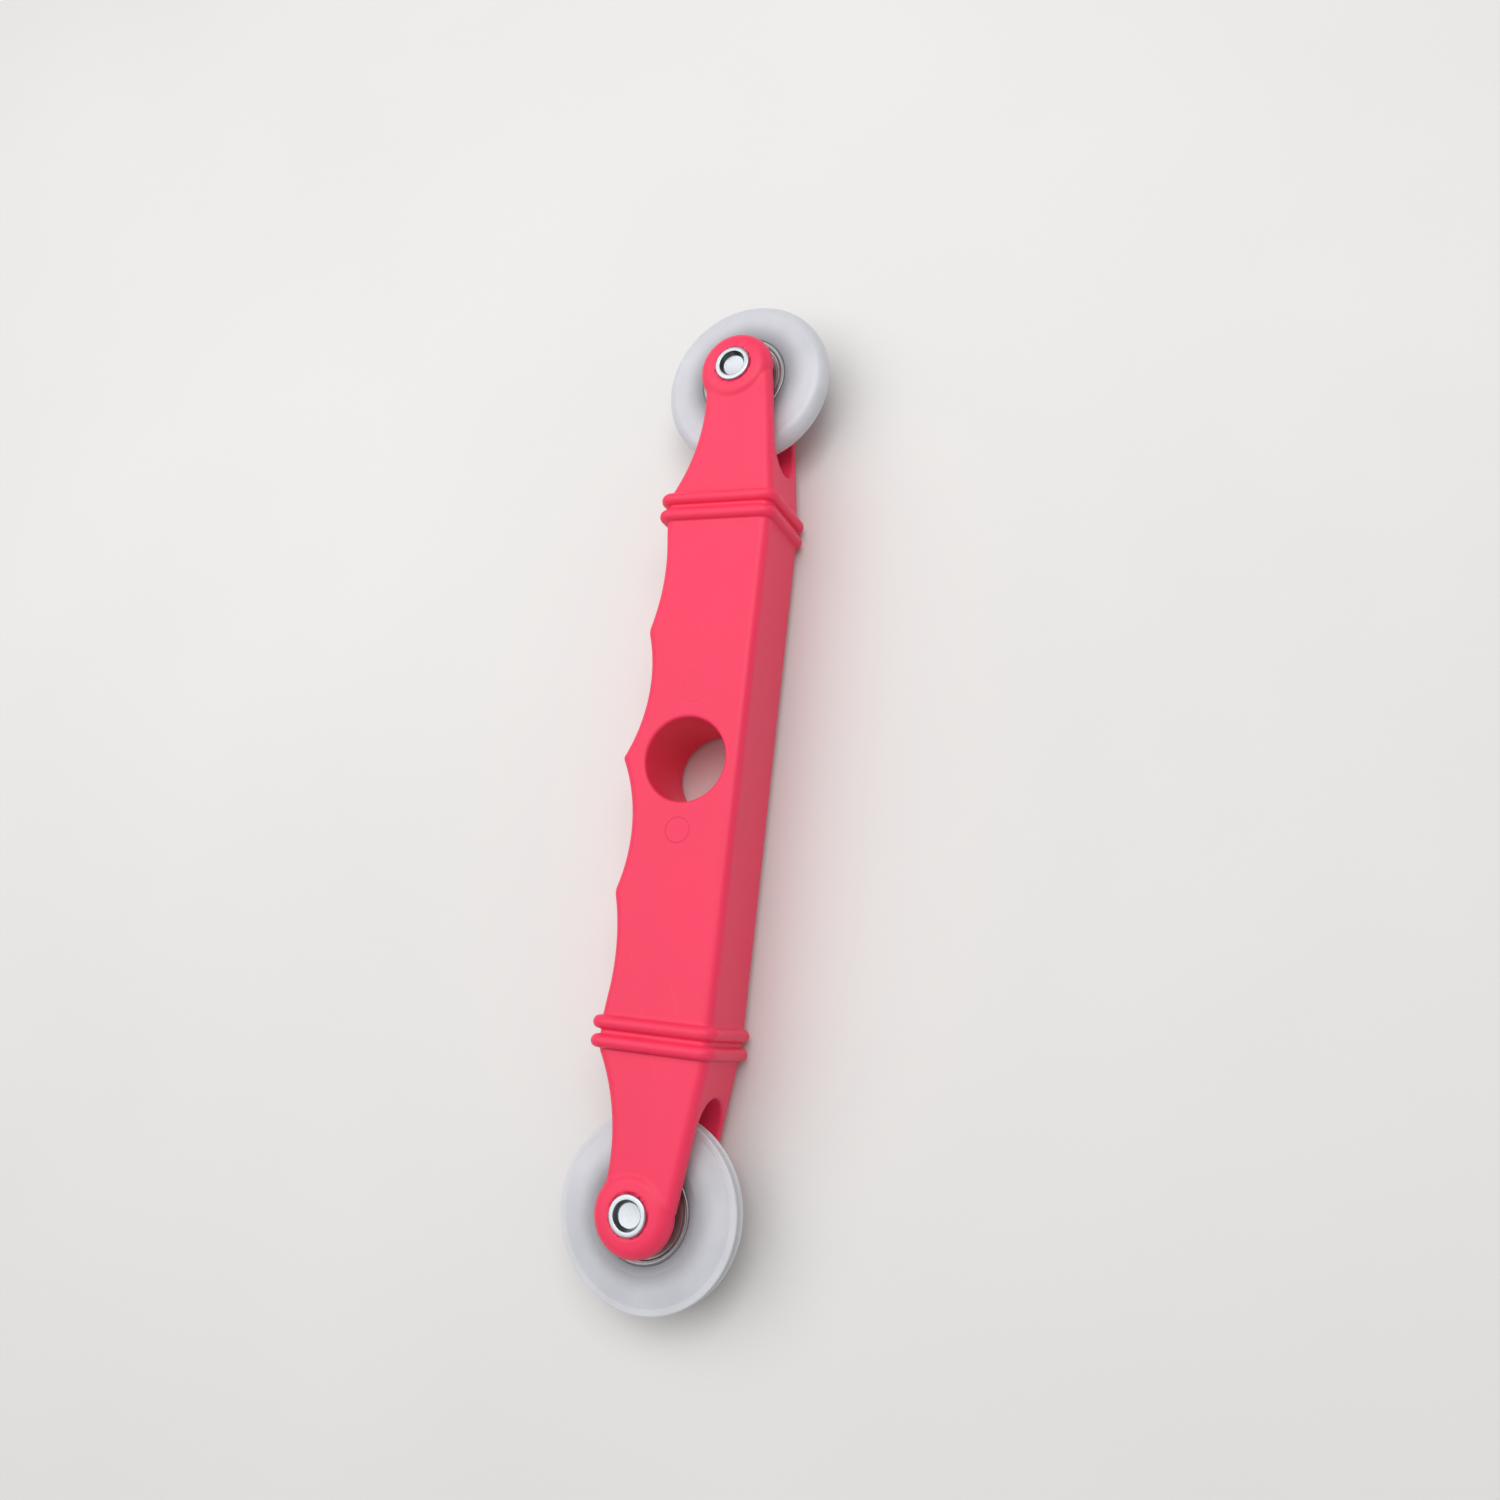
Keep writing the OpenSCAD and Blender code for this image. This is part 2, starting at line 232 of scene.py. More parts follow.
def handle_distance(p, s):
    """Distance from points in mm about the handle's middle to its moulded surface."""
    x, y, z = p[..., 0], p[..., 1], p[..., 2]
    a, h = np.abs(y), np.abs(z)
    grip_half, arm_half = s.grip_thickness / MM / 2, s.arm_thickness / MM / 2
    boss_top = arm_half + s.boss_height / MM
    edge = np.where(x > 0, s.back_edge_radius / MM, s.edge_radius / MM)
    boss_edge = s.boss_edge_radius / MM
    step = np.clip((a - ARM_Y) / ARM_STEP + 0.5, 0, 1)
    half = grip_half + (arm_half - grip_half) * step * step * (3 - 2 * step)
    body = round_edge(grip_outline(x, y), h - half, edge)

    from_axle = np.hypot(x, a - AXLE_Y)
    crown = np.hypot(from_axle, h - boss_top + CROWN_RADIUS) - CROWN_RADIUS
    boss = round_edge(from_axle - ARM_RADIUS, crown, boss_edge)
    body = blend_min(body, boss, BOSS_BLEND)

    left, right = -RIB_TIP_X + RIB_RADIUS, BACK_X + RIB_HEIGHT - RIB_RADIUS
    high = grip_half + RIB_HEIGHT - RIB_RADIUS
    bx = np.abs(x - (left + right) / 2) - (right - left) / 2 + RIB_BEND
    bz = h - high + RIB_BEND
    band = np.minimum(np.maximum(bx, bz), 0) + np.hypot(np.maximum(bx, 0), np.maximum(bz, 0)) - RIB_BEND
    for rib_y in (RIB_NEAR_Y, RIB_NEAR_Y + RIB_PITCH):
        body = blend_min(body, np.hypot(band, a - rib_y) - RIB_RADIUS, RIB_BLEND)

    slot_y = AXLE_Y - SLOT_REACH + SLOT_HALF
    slot = np.where(a > slot_y, h - SLOT_HALF, np.hypot(a - slot_y, h) - SLOT_HALF)
    pad = round_edge(from_axle - PAD_RADIUS, PAD_TOP - h, PAD_EDGE)
    body = blend_max(body, -np.maximum(slot, -pad), SLOT_BLEND)

    shank = from_axle - SHANK_HOLE_RADIUS
    roll_seat = np.maximum(from_axle - ROLL_SEAT_RADIUS, boss_top - ROLL_SEAT_DEPTH - z)
    head_seat = np.maximum(from_axle - HEAD_SEAT_RADIUS, boss_top - HEAD_SEAT_DEPTH + z)
    holes = np.minimum(np.minimum(shank, roll_seat), head_seat)
    body = blend_max(body, -holes, RIVET_HOLE_BLEND)
    return blend_max(body, HANG_HOLE_RADIUS - np.hypot(x, y), HANG_HOLE_BLEND)


def surface_slope(distance, p, step=0.02):
    """Outward direction and steepness of a distance at points p."""
    slope = np.empty_like(p)
    for axis in range(3):
        shift = np.zeros(3)
        shift[axis] = step
        slope[:, axis] = (distance(p + shift) - distance(p - shift)) / (2 * step)
    return slope


def skin(distance, low, high, cell):
    """Points and four-sided faces on a distance's zero surface, with one point in each cell it crosses."""
    count = np.ceil((high - low) / cell).astype(int) + 1
    lines = [low[i] + cell * np.arange(count[i]) for i in range(3)]
    values = distance(np.stack(np.meshgrid(*lines, indexing="ij"), -1)).astype(np.float64)
    inside = values < 0
    shape = tuple(count - 1)
    total, crossings = np.zeros(shape + (3,)), np.zeros(shape)
    corners = [(i, j, k) for i in (0, 1) for j in (0, 1) for k in (0, 1)]

    def part(array, corner):
        return array[tuple(slice(c, c + n) for c, n in zip(corner, shape))]

    for axis in range(3):
        for corner in corners:
            if corner[axis]:
                continue
            other = tuple(1 if i == axis else c for i, c in enumerate(corner))
            a, b = part(values, corner), part(values, other)
            crossed = part(inside, corner) != part(inside, other)
            share = np.where(crossed, a / np.where(crossed, a - b, 1), 0)
            for i in range(3):
                total[..., i] += np.where(crossed, share if i == axis else corner[i], 0)
            crossings += crossed
    used = crossings > 0
    index = np.full(shape, -1)
    index[used] = np.arange(used.sum())
    cells = np.argwhere(used)
    points = low + cell * (cells + total[used] / crossings[used][:, None])

    faces = []
    for axis in range(3):
        u, v = (axis + 1) % 3, (axis + 2) % 3
        here = [slice(None)] * 3
        there = [slice(None)] * 3
        here[axis], there[axis] = slice(0, -1), slice(1, None)
        crossed = np.argwhere(inside[tuple(here)] != inside[tuple(there)])
        crossed = crossed[(crossed[:, u] > 0) & (crossed[:, v] > 0)]
        leaving = inside[tuple(crossed.T)]
        ring = []
        for du, dv in ((0, 0), (-1, 0), (-1, -1), (0, -1)):
            c = crossed.copy()
            c[:, u] += du
            c[:, v] += dv
            ring.append(index[tuple(c.T)])
        ring = np.stack(ring, 1)
        ring[~leaving] = ring[~leaving][:, ::-1]
        faces.append(ring)
    return points, np.concatenate(faces)


def even_out(points, faces, share):
    """Moves each point part of the way to the middle of its neighbours."""
    total, count = np.zeros_like(points), np.zeros(len(points))
    for i in range(4):
        a, b = faces[:, i], faces[:, (i + 1) % 4]
        for axis in range(3):
            total[:, axis] += np.bincount(a, points[b, axis], len(points))
            total[:, axis] += np.bincount(b, points[a, axis], len(points))
        count += np.bincount(a, minlength=len(points)) + np.bincount(b, minlength=len(points))
    return points + share * (total / count[:, None] - points)


def onto_surface(distance, points, cell, rounds=2, least_steep=0.2):
    """Moves points onto the zero surface along its slope, by half a cell at most in each round."""
    for _ in range(rounds):
        slope = surface_slope(distance, points)
        steep = np.maximum((slope ** 2).sum(1), least_steep)
        move = (distance(points) / steep)[:, None] * slope
        length = np.linalg.norm(move, axis=1)[:, None]
        points = points - move * np.minimum(1, 0.5 * cell / np.maximum(length, 1e-9))
    return points


def make_handle(settings, finish, even_rounds=3):
    """The one-piece handle, skinned from its rounded outline, bosses, ribs, slots and holes."""
    def distance(p):
        return handle_distance(p, settings)

    cell = settings.cell / MM
    points, faces = skin(distance, np.array(SKIN_LOW), np.array(SKIN_HIGH), cell)
    for _ in range(even_rounds):
        points = onto_surface(distance, even_out(points, faces, 0.5), cell)
    points = onto_surface(distance, points, cell)
    normals = surface_slope(distance, points)
    normals /= np.linalg.norm(normals, axis=1)[:, None]

    mesh = bpy.data.meshes.new("Moulded_handle")
    mesh.from_pydata((points * MM + np.array(MIDDLE)).tolist(), [], faces.tolist())
    mesh.materials.append(finish)
    mesh.shade_smooth()
    mesh.normals_split_custom_set_from_vertices(normals.tolist())
    piece = bpy.data.objects.new("Moulded_handle", mesh)
    bpy.context.scene.collection.objects.link(piece)
    return piece


# ---------------------------------------------------------------- turned pieces

SWEEP_RADIUS = 1.0
MERGE_DISTANCE = 2e-7
SHARP_ANGLE = math.radians(38)


def turning_tree():
    """Node tree that turns a profile round an axle, as a lathe would."""
    found = bpy.data.node_groups.get("Turned_on_axle")
    if found:
        return found
    tree = bpy.data.node_groups.new("Turned_on_axle", "GeometryNodeTree")
    sockets = tree.interface
    sockets.new_socket("Profile", in_out="INPUT", socket_type="NodeSocketGeometry")
    for name, kind, value in (("Start radius", "NodeSocketFloat", 0.001),
                              ("Segments", "NodeSocketInt", 96),
                              ("Axle point", "NodeSocketVector", (0, 0, 0)),
                              ("Finish", "NodeSocketMaterial", None)):
        socket = sockets.new_socket(name, in_out="INPUT", socket_type=kind)
        if value is not None:
            socket.default_value = value
    sockets.new_socket("Turned", in_out="OUTPUT", socket_type="NodeSocketGeometry")

    def node(kind, **values):
        made = tree.nodes.new(kind)
        for key, value in values.items():
            setattr(made, key, value)
        return made

    given = node("NodeGroupInput")
    profile = node("GeometryNodeMeshToCurve")
    circle = node("GeometryNodeCurvePrimitiveCircle", mode="RADIUS")
    upright = node("GeometryNodeSetCurveNormal", mode="Z_UP")
    sweep = node("GeometryNodeCurveToMesh")
    close = node("GeometryNodeMergeByDistance")
    close.inputs["Distance"].default_value = MERGE_DISTANCE
    place = node("GeometryNodeTransform")
    smooth = node("GeometryNodeSetShadeSmooth")
    real = node("GeometryNodeRealizeInstances")
    paint = node("GeometryNodeSetMaterial")
    out = node("NodeGroupOutput")
    link = tree.links.new
    link(given.outputs["Profile"], profile.inputs["Mesh"])
    link(given.outputs["Start radius"], circle.inputs["Radius"])
    link(given.outputs["Segments"], circle.inputs["Resolution"])
    link(circle.outputs["Curve"], upright.inputs["Curve"])
    link(upright.outputs["Curve"], sweep.inputs["Curve"])
    link(profile.outputs["Curve"], sweep.inputs["Profile Curve"])
    link(sweep.outputs["Mesh"], close.inputs["Geometry"])
    link(close.outputs["Geometry"], place.inputs["Geometry"])
    link(given.outputs["Axle point"], place.inputs["Translation"])
    link(place.outputs["Geometry"], smooth.inputs["Geometry"])
    link(smooth.outputs["Geometry"], real.inputs["Geometry"])
    link(real.outputs["Geometry"], paint.inputs["Geometry"])
    link(given.outputs["Finish"], paint.inputs["Material"])
    link(paint.outputs["Geometry"], out.inputs["Turned"])
    return tree


def give(modifier, values):
    """Sets a node modifier's inputs by their names in its tree."""
    for item in modifier.node_group.interface.items_tree:
        if item.item_type == "SOCKET" and item.in_out == "INPUT" and item.name in values:
            modifier[item.identifier] = values[item.name]


def eased(corners, closed=True, steps=6):
    """Path through (radius, height, rounding) corners, each rounded off by its own radius."""
    path, n = [], len(corners)
    for i, (x, y, r) in enumerate(corners):
        here = Vector((x, y))
        if r <= 0 or (not closed and i in (0, n - 1)):
            path.append(here)
            continue
        before = Vector(corners[i - 1][:2]) - here
        after = Vector(corners[(i + 1) % n][:2]) - here
        half = before.angle(after) / 2
        reach = min(r / math.tan(half), 0.49 * before.length, 0.49 * after.length)
        r = reach * math.tan(half)
        centre = here + (before.normalized() + after.normalized()).normalized() * (r / math.sin(half))
        start = here + before.normalized() * reach - centre
        turn = start.angle_signed(here + after.normalized() * reach - centre)
        for k in range(steps + 1):
            t = -turn * k / steps
            path.append(centre + Vector((start.x * math.cos(t) - start.y * math.sin(t),
                                         start.x * math.sin(t) + start.y * math.cos(t))))
    return path


def arc(cx, cy, r, begin, end, steps):
    """Sharp corners along an arc, angles in degrees."""
    return [(cx + r * math.cos(math.radians(begin + (end - begin) * k / steps)),
             cy + r * math.sin(math.radians(begin + (end - begin) * k / steps)), 0)
            for k in range(steps + 1)]


def under(corners):
    """The same corners on the other side of the middle plane."""
    return [(x, -y, r) for x, y, r in corners]


def turned(name, corners, axle, finish, segments, closed=True):
    """A piece turned round an axle from its profile corners in mm."""
    path = eased(corners, closed)
    host_mesh = bpy.data.meshes.new(name)
    count = len(path)
    edges = [(i, (i + 1) % count) for i in range(count if closed else count - 1)]
    host_mesh.from_pydata([((p.x - SWEEP_RADIUS) * MM, -p.y * MM, 0) for p in path], edges, [])
    host = bpy.data.objects.new(name + "_profile", host_mesh)
    bpy.context.scene.collection.objects.link(host)
    modifier = host.modifiers.new("Turned", "NODES")
    modifier.node_group = turning_tree()
    give(modifier, {"Start radius": SWEEP_RADIUS * MM, "Segments": segments, "Axle point": tuple(axle),
                    "Finish": finish})
    bpy.context.view_layer.update()
    finished = host.evaluated_get(bpy.context.evaluated_depsgraph_get())
    mesh = bpy.data.meshes.new_from_object(finished)
    host.modifiers.remove(modifier)
    bpy.data.objects.remove(host)
    bpy.data.meshes.remove(host_mesh)
    mesh.name = name
    if enclosed_volume(mesh) < 0:
        mesh.flip_normals()
    mesh.set_sharp_from_angle(angle=SHARP_ANGLE)
    piece = bpy.data.objects.new(name, mesh)
    bpy.context.scene.collection.objects.link(piece)
    return piece


def enclosed_volume(mesh):
    """Volume inside a closed mesh, negative if its faces point inwards."""
    mesh.calc_loop_triangles()
    corners = np.empty(len(mesh.vertices) * 3)
    mesh.vertices.foreach_get("co", corners)
    ring = np.empty(len(mesh.loop_triangles) * 3, np.int32)
    mesh.loop_triangles.foreach_get("vertices", ring)
    t = corners.reshape(-1, 3)[ring.reshape(-1, 3)]
    return float(np.einsum("ij,ij->", t[:, 0], np.cross(t[:, 1], t[:, 2]))) / 6


# Sizes in mm, as radii from the axle and halves of widths
BEARING_RADIUS, BEARING_HALF = 8.5, 3.0
BALL_CIRCLE, TRACK_RADIUS = 5.8, 1.65
RACE_SHOULDER = 7.1
SHIELD_RECESS, SHIELD_SEAT = 7.6, 2.55
HUB_HALF, HUB_RADIUS = 2.8, 10.0
GROOVE_HALF, GROOVE_DEPTH = 1.1, 0.8
SHANK_RADIUS = 2.98
HEAD_RADIUS, HEAD_HEIGHT = 4.7, 1.0
ROLL_RADIUS, ROLL_HEIGHT = 3.42, 0.52
ROLL_HOLE_RADIUS, ROLL_HOLE_FLOOR, ROLL_HOLE_DEPTH = 2.52, 2.05, 1.0


def convex_profile(s):
    """Half-round rim on a web that thickens towards the bearing."""
    r, nose = s.diameter / MM / 2, s.convex_width / MM / 2
    side = [(BEARING_RADIUS, HUB_HALF, 0.15), (HUB_RADIUS, HUB_HALF, 0.5), (r - nose - 0.4, nose, 0.3)]
    return under(side) + arc(r - nose, 0, nose, -84, 84, 28) + side[::-1]


def grooved_profile(s):
    """Thinner rim with a shallow round groove between two soft lips."""
    r, half = s.diameter / MM / 2, s.grooved_width / MM / 2
    groove_r = (GROOVE_HALF ** 2 + GROOVE_DEPTH ** 2) / (2 * GROOVE_DEPTH)
    sweep = math.degrees(math.asin(min(1, GROOVE_HALF / groove_r)))
    groove = arc(r - GROOVE_DEPTH + groove_r, 0, groove_r, 180 + sweep, 180 - sweep, 14)
    side = [(BEARING_RADIUS, HUB_HALF, 0.15), (HUB_RADIUS, HUB_HALF, 0.5),
            (r - 1.2, half, 0.4), (r, half, 0.22)]
    lip = [(r, GROOVE_HALF, 0.12)]
    return under(side + lip) + groove[1:-1] + lip + side[::-1]


def race_profile():
    """Outer ring of the bearing, with its ball track and the recesses for the shields."""
    track = arc(BALL_CIRCLE, 0, TRACK_RADIUS, -38, 38, 10)
    side = [(RACE_SHOULDER, SHIELD_SEAT, 0), (SHIELD_RECESS, SHIELD_SEAT, 0),
            (SHIELD_RECESS, BEARING_HALF, 0.12), (BEARING_RADIUS, BEARING_HALF, 0.3)]
    return under(side) + side[::-1] + track[::-1]


def shield_profile(face):
    """Pressed shield, stepped between its lip and its rim, on one side face."""
    corners = [(4.78, 2.62, 0.1), (6.1, 2.62, 0.2), (6.35, 2.75, 0.2), (7.58, 2.75, 0.08),
               (7.58, 2.58, 0.05), (6.45, 2.58, 0.1), (6.2, 2.45, 0.1), (4.78, 2.45, 0.1)]
    return [(x, y * face, r) for x, y, r in corners]


def rivet_profile(boss_top):
    """Semi-tubular rivet, from the middle of its domed head to the bottom of its hole."""
    seat, rim, floor = HEAD_SEAT_DEPTH - boss_top, boss_top - ROLL_SEAT_DEPTH, boss_top - ROLL_HOLE_DEPTH
    dome_r = (HEAD_RADIUS ** 2 + HEAD_HEIGHT ** 2) / (2 * HEAD_HEIGHT)
    half_turn = math.degrees(math.asin(HEAD_RADIUS / dome_r))
    dome = arc(0, seat - HEAD_HEIGHT + dome_r, dome_r, -90, -90 + half_turn - 3, 12)
    head = [(HEAD_RADIUS, seat - 0.12, 0.15), (HEAD_RADIUS, seat, 0.08)]
    shank = [(SHANK_RADIUS, seat, 0), (SHANK_RADIUS, rim, 0)]
    roll = [(ROLL_RADIUS, rim, 0.1), (ROLL_RADIUS, rim + ROLL_HEIGHT, 0.3),
            (ROLL_HOLE_RADIUS, rim + ROLL_HEIGHT, 0.14)]
    return dome + head + shank + roll + [(ROLL_HOLE_FLOOR, floor, 0.15), (0, floor, 0)]


# ---------------------------------------------------------------- materials

EJECTOR_X, EJECTOR_Y, EJECTOR_RADIUS = 0.3, 12.8, 2.3

# How fast the fine rings repeat away from an axle, in radians per metre
TURNED_MARKS, GROUND_MARKS = 21000.0, 17000.0


class Finish:
    """A material being made, with short calls for its nodes."""

    def __init__(self, name):
        self.material = bpy.data.materials.new(name)
        self.material.use_nodes = True
        self.tree = self.material.node_tree
        self.tree.nodes.clear()
        self.out = self.tree.nodes.new("ShaderNodeOutputMaterial")
        self.shader = self.tree.nodes.new("ShaderNodeBsdfPrincipled")
        self.tree.links.new(self.shader.outputs["BSDF"], self.out.inputs["Surface"])
        self.place = self.tree.nodes.new("ShaderNodeTexCoord").outputs["Object"]

    def feed(self, value, socket):
        """Links an output to a socket, or sets the socket to a plain value."""
        if isinstance(value, bpy.types.NodeSocket):
            self.tree.links.new(value, socket)
        else:
            socket.default_value = value

    def about(self, centre, scale=(1, 1, 1), turn=(0, 0, 0)):
        """Coordinates measured from a centre, then turned and scaled."""
        node = self.tree.nodes.new("ShaderNodeMapping")
        node.vector_type = "TEXTURE"
        self.feed(self.place, node.inputs["Vector"])
        node.inputs["Location"].default_value = centre
        node.inputs["Rotation"].default_value = turn
        node.inputs["Scale"].default_value = scale
        return node.outputs["Vector"]

    def noise(self, scale, detail=3, rough=0.5, where=None):
        """Cloudy pattern from 0 to 1."""
        node = self.tree.nodes.new("ShaderNodeTexNoise")
        self.feed(where or self.place, node.inputs["Vector"])
        node.inputs["Scale"].default_value = scale
        node.inputs["Detail"].default_value = detail
        node.inputs["Roughness"].default_value = rough
        return node.outputs["Fac"]

    def math(self, kind, a, b=0.0, c=0.0):
        """One sum on numbers."""
        node = self.tree.nodes.new("ShaderNodeMath")
        node.operation = kind
        for value, socket in zip((a, b, c), node.inputs):
            self.feed(value, socket)
        return node.outputs[0]

    def times(self, a, b):
        """Product of two numbers."""
        return self.math("MULTIPLY", a, b)

    def reach(self, x, y):
        """Distance from the centre, from X and Y."""
        return self.math("SQRT", self.math("ADD", self.times(x, x), self.times(y, y)))

    def span(self, value, low, high, to_low=0.0, to_high=1.0, smooth=False):
        """Maps a number from one range to another, held at the ends."""
        node = self.tree.nodes.new("ShaderNodeMapRange")
        node.interpolation_type = "SMOOTHSTEP" if smooth else "LINEAR"
        self.feed(value, node.inputs["Value"])
        for key, number in (("From Min", low), ("From Max", high), ("To Min", to_low), ("To Max", to_high)):
            node.inputs[key].default_value = number
        return node.outputs["Result"]

    def mix(self, share, a, b):
        """Mix of two colours."""
        node = self.tree.nodes.new("ShaderNodeMix")
        node.data_type = "RGBA"
        self.feed(share, node.inputs[0])
        self.feed(colour4(a), node.inputs[6])
        self.feed(colour4(b), node.inputs[7])
        return node.outputs[2]

    def split(self, vector):
        """X, Y and Z of a vector."""
        node = self.tree.nodes.new("ShaderNodeSeparateXYZ")
        self.feed(vector, node.inputs[0])
        return node.outputs

    def bump(self, height, distance, strength=1.0, before=None):
        """Fine relief, on top of any relief before it."""
        node = self.tree.nodes.new("ShaderNodeBump")
        node.inputs["Strength"].default_value = strength
        node.inputs["Distance"].default_value = distance
        self.feed(height, node.inputs["Height"])
        if before is not None:
            self.feed(before, node.inputs["Normal"])
        return node.outputs["Normal"]

    def set(self, **values):
        """Sets the shader's sockets: spaces in their names are written as underscores."""
        for key, value in values.items():
            socket = self.shader.inputs[key.replace("_", " ")]
            self.feed(colour4(value) if socket.type == "RGBA" else value, socket)


def colour4(value):
    """A colour as four numbers, or a node's output as it is."""
    if isinstance(value, bpy.types.NodeSocket):
        return value
    return tuple(value[:3]) + (1.0,)


def tinted(colour, share):
    """A colour made lighter by a share above 1, or darker below it."""
    return tuple(min(1, c * share) for c in colour[:3])


def moulded_plastic(colour):
    """Satin crimson polypropylene with faint flow marks, scuffs and ejector pin marks, with painted shade
    along the pin marks' rims.
    """
    f = Finish("Crimson_moulded_plastic")
    clouds = f.noise(22, 4, 0.55)
    flow = f.noise(60, 3, 0.6, f.about(tuple(MIDDLE), (1, 5, 1)))
    grain = f.noise(2600, 2, 0.6)
    scuff = f.span(f.noise(420, 3, 0.6, f.about(tuple(MIDDLE), (1, 14, 1), (0, 0, 0.35))), 0.68, 0.76)
    base = f.mix(f.span(clouds, 0.35, 0.65), tinted(colour, 0.95), tinted(colour, 1.04))
    base = f.mix(f.times(f.span(flow, 0.5, 0.8), 0.12), base, (0.92, 0.10, 0.19))
    base = f.mix(f.times(scuff, 0.06), base, (0.95, 0.30, 0.38))

    x, y, z = f.split(f.place)[:3]
    along = f.math("ABSOLUTE", y)
    off = f.math("SUBTRACT", x, EJECTOR_X * MM)
    away = f.math("SUBTRACT", along, EJECTOR_Y * MM)
    reach = f.reach(off, away)
    on_top = f.span(z, GRIP_TOP - 0.5 * MM, GRIP_TOP - 0.2 * MM)
    # The pin marks, and the painted shade along their rims, show less toward the +Y end
    fainter_toward_plus_y = f.span(y, -1 * MM, 1 * MM, 1.0, 0.35)
    shown = f.times(on_top, fainter_toward_plus_y)
    edge = f.math("ABSOLUTE", f.math("SUBTRACT", reach, EJECTOR_RADIUS * MM))
    ring = f.times(f.span(edge, 0.0, 0.15 * MM, 1, 0, True), shown)
    disc = f.span(reach, (EJECTOR_RADIUS - 0.15) * MM, EJECTOR_RADIUS * MM, 1, 0, True)
    disc = f.times(disc, shown)
    # Painted shade: a thin dark line along the rim of each ejector pin mark's shallow recess
    base = f.mix(f.times(ring, 0.42), base, tinted(colour, 0.55))

    relief = f.bump(grain, 0.02 * MM, 0.30)
    relief = f.bump(clouds, 0.6 * MM, 0.08, relief)
    relief = f.bump(scuff, 0.02 * MM, 0.3, relief)
    relief = f.bump(f.math("SUBTRACT", disc, f.times(ring, 0.6)), 0.05 * MM, 0.8, relief)
    gloss = f.span(f.math("ADD", clouds, f.times(scuff, 0.25)), 0.3, 0.9, 0.36, 0.52)
    f.set(Base_Color=base, Roughness=gloss, Normal=relief, IOR=1.47, Subsurface_Weight=0.22,
          Subsurface_Scale=1.6 * MM, Subsurface_Radius=(1.0, 0.22, 0.3), Specular_IOR_Level=0.35)
    return f.material


def nylon(colour, axle, name):
    """Milky translucent nylon: fine turned rings, cloudy tint, slight tread wear and painted shade round
    the bearing.
    """
    f = Finish(name)
    where = f.about(tuple(axle))
    reach = f.reach(*f.split(where)[:2])
    clouds = f.noise(120, 4, 0.55, where)
    fine = f.noise(900, 3, 0.6, where)
    rings = f.math("SINE", f.math("ADD", f.times(reach, TURNED_MARKS), f.times(clouds, 2.5)))
    # Painted shade: darkest next to the bearing and gone by 13.2 mm out; it also stands for the steel
    # bearing showing through the milky nylon
    hub_shade_and_show_through = f.span(reach, 7.6 * MM, 13.2 * MM, 1, 0, True)
    tread = f.span(reach, 15.6 * MM, 16.4 * MM)
    base = f.mix(f.span(clouds, 0.35, 0.7), tinted(colour, 0.94), tinted(colour, 1.04))
    base = f.mix(f.times(hub_shade_and_show_through, 0.85), base, (0.20, 0.21, 0.24))
    marks = f.times(tread, f.span(fine, 0.5, 0.75))
    base = f.mix(f.times(marks, 0.22), base, (0.58, 0.56, 0.52))
    relief = f.bump(rings, 0.006 * MM, 0.35)
    relief = f.bump(fine, 0.02 * MM, 0.4, relief)
    gloss = f.span(f.math("ADD", clouds, f.times(marks, 0.3)), 0.3, 0.8, 0.30, 0.46)
    f.set(Base_Color=base, Roughness=gloss, Normal=relief, IOR=1.53, Subsurface_Weight=0.55,
          Subsurface_Scale=2.4 * MM, Subsurface_Radius=(1.0, 0.98, 0.95), Transmission_Weight=0.10,
          Coat_Weight=0.12, Coat_Roughness=0.25)
    return f.material


def off_axle(f):
    """Distance from the nearer axle, for a Finish."""
    x, y = f.split(f.place)[:2]
    y = f.math("SUBTRACT", f.math("ABSOLUTE", y), AXLE_Y * MM)
    return f.reach(x, y)


def bright_metal(name, colour, smooth, ring_marks=0.0, painted_hole_shade_top=None):
    """Plated or ground metal: clouding, marks round the axle, small nicks and painted shade on the rivet's
    hole wall.
    """
    f = Finish(name)
    reach = off_axle(f)
    clouds = f.noise(260, 4, 0.6)
    fine = f.noise(1800, 3, 0.65)
    nicks = f.span(f.noise(3200, 2, 0.7), 0.66, 0.72)
    base = f.mix(f.span(clouds, 0.3, 0.7), tinted(colour, 0.88), tinted(colour, 1.06))
    base = f.mix(f.times(nicks, 0.30), base, tinted(colour, 0.5))
    rings = f.math("SINE", f.times(reach, GROUND_MARKS))
    base = f.mix(f.times(f.span(rings, -0.2, 0.8), ring_marks), base, tinted(colour, 0.35))
    # Painted shade: the rivet's hole wall, between the edge of its floor and its rim, is painted much
    # darker
    if painted_hole_shade_top is not None:
        height = f.split(f.place)[2]
        past_floor = f.span(reach, (ROLL_HOLE_FLOOR + 0.01) * MM, (ROLL_HOLE_FLOOR + 0.09) * MM)
        within_rim = f.span(reach, (ROLL_HOLE_RADIUS - 0.04) * MM, (ROLL_HOLE_RADIUS + 0.02) * MM, 1, 0)
        at_top = f.span(height, painted_hole_shade_top - 2.0 * MM, painted_hole_shade_top - 1.5 * MM)
        wall = f.times(f.times(past_floor, within_rim), at_top)
        base = f.mix(f.times(wall, 0.85), base, tinted(colour, 0.22))
    relief = f.bump(fine, 0.010 * MM, 0.4)
    relief = f.bump(nicks, 0.015 * MM, 0.5, relief)
    relief = f.bump(rings, 0.010 * MM, ring_marks, relief)
    gloss = f.span(clouds, 0.3, 0.75, smooth, smooth + 0.14)
    f.set(Base_Color=base, Metallic=1.0, Normal=relief, Roughness=gloss)
    return f.material


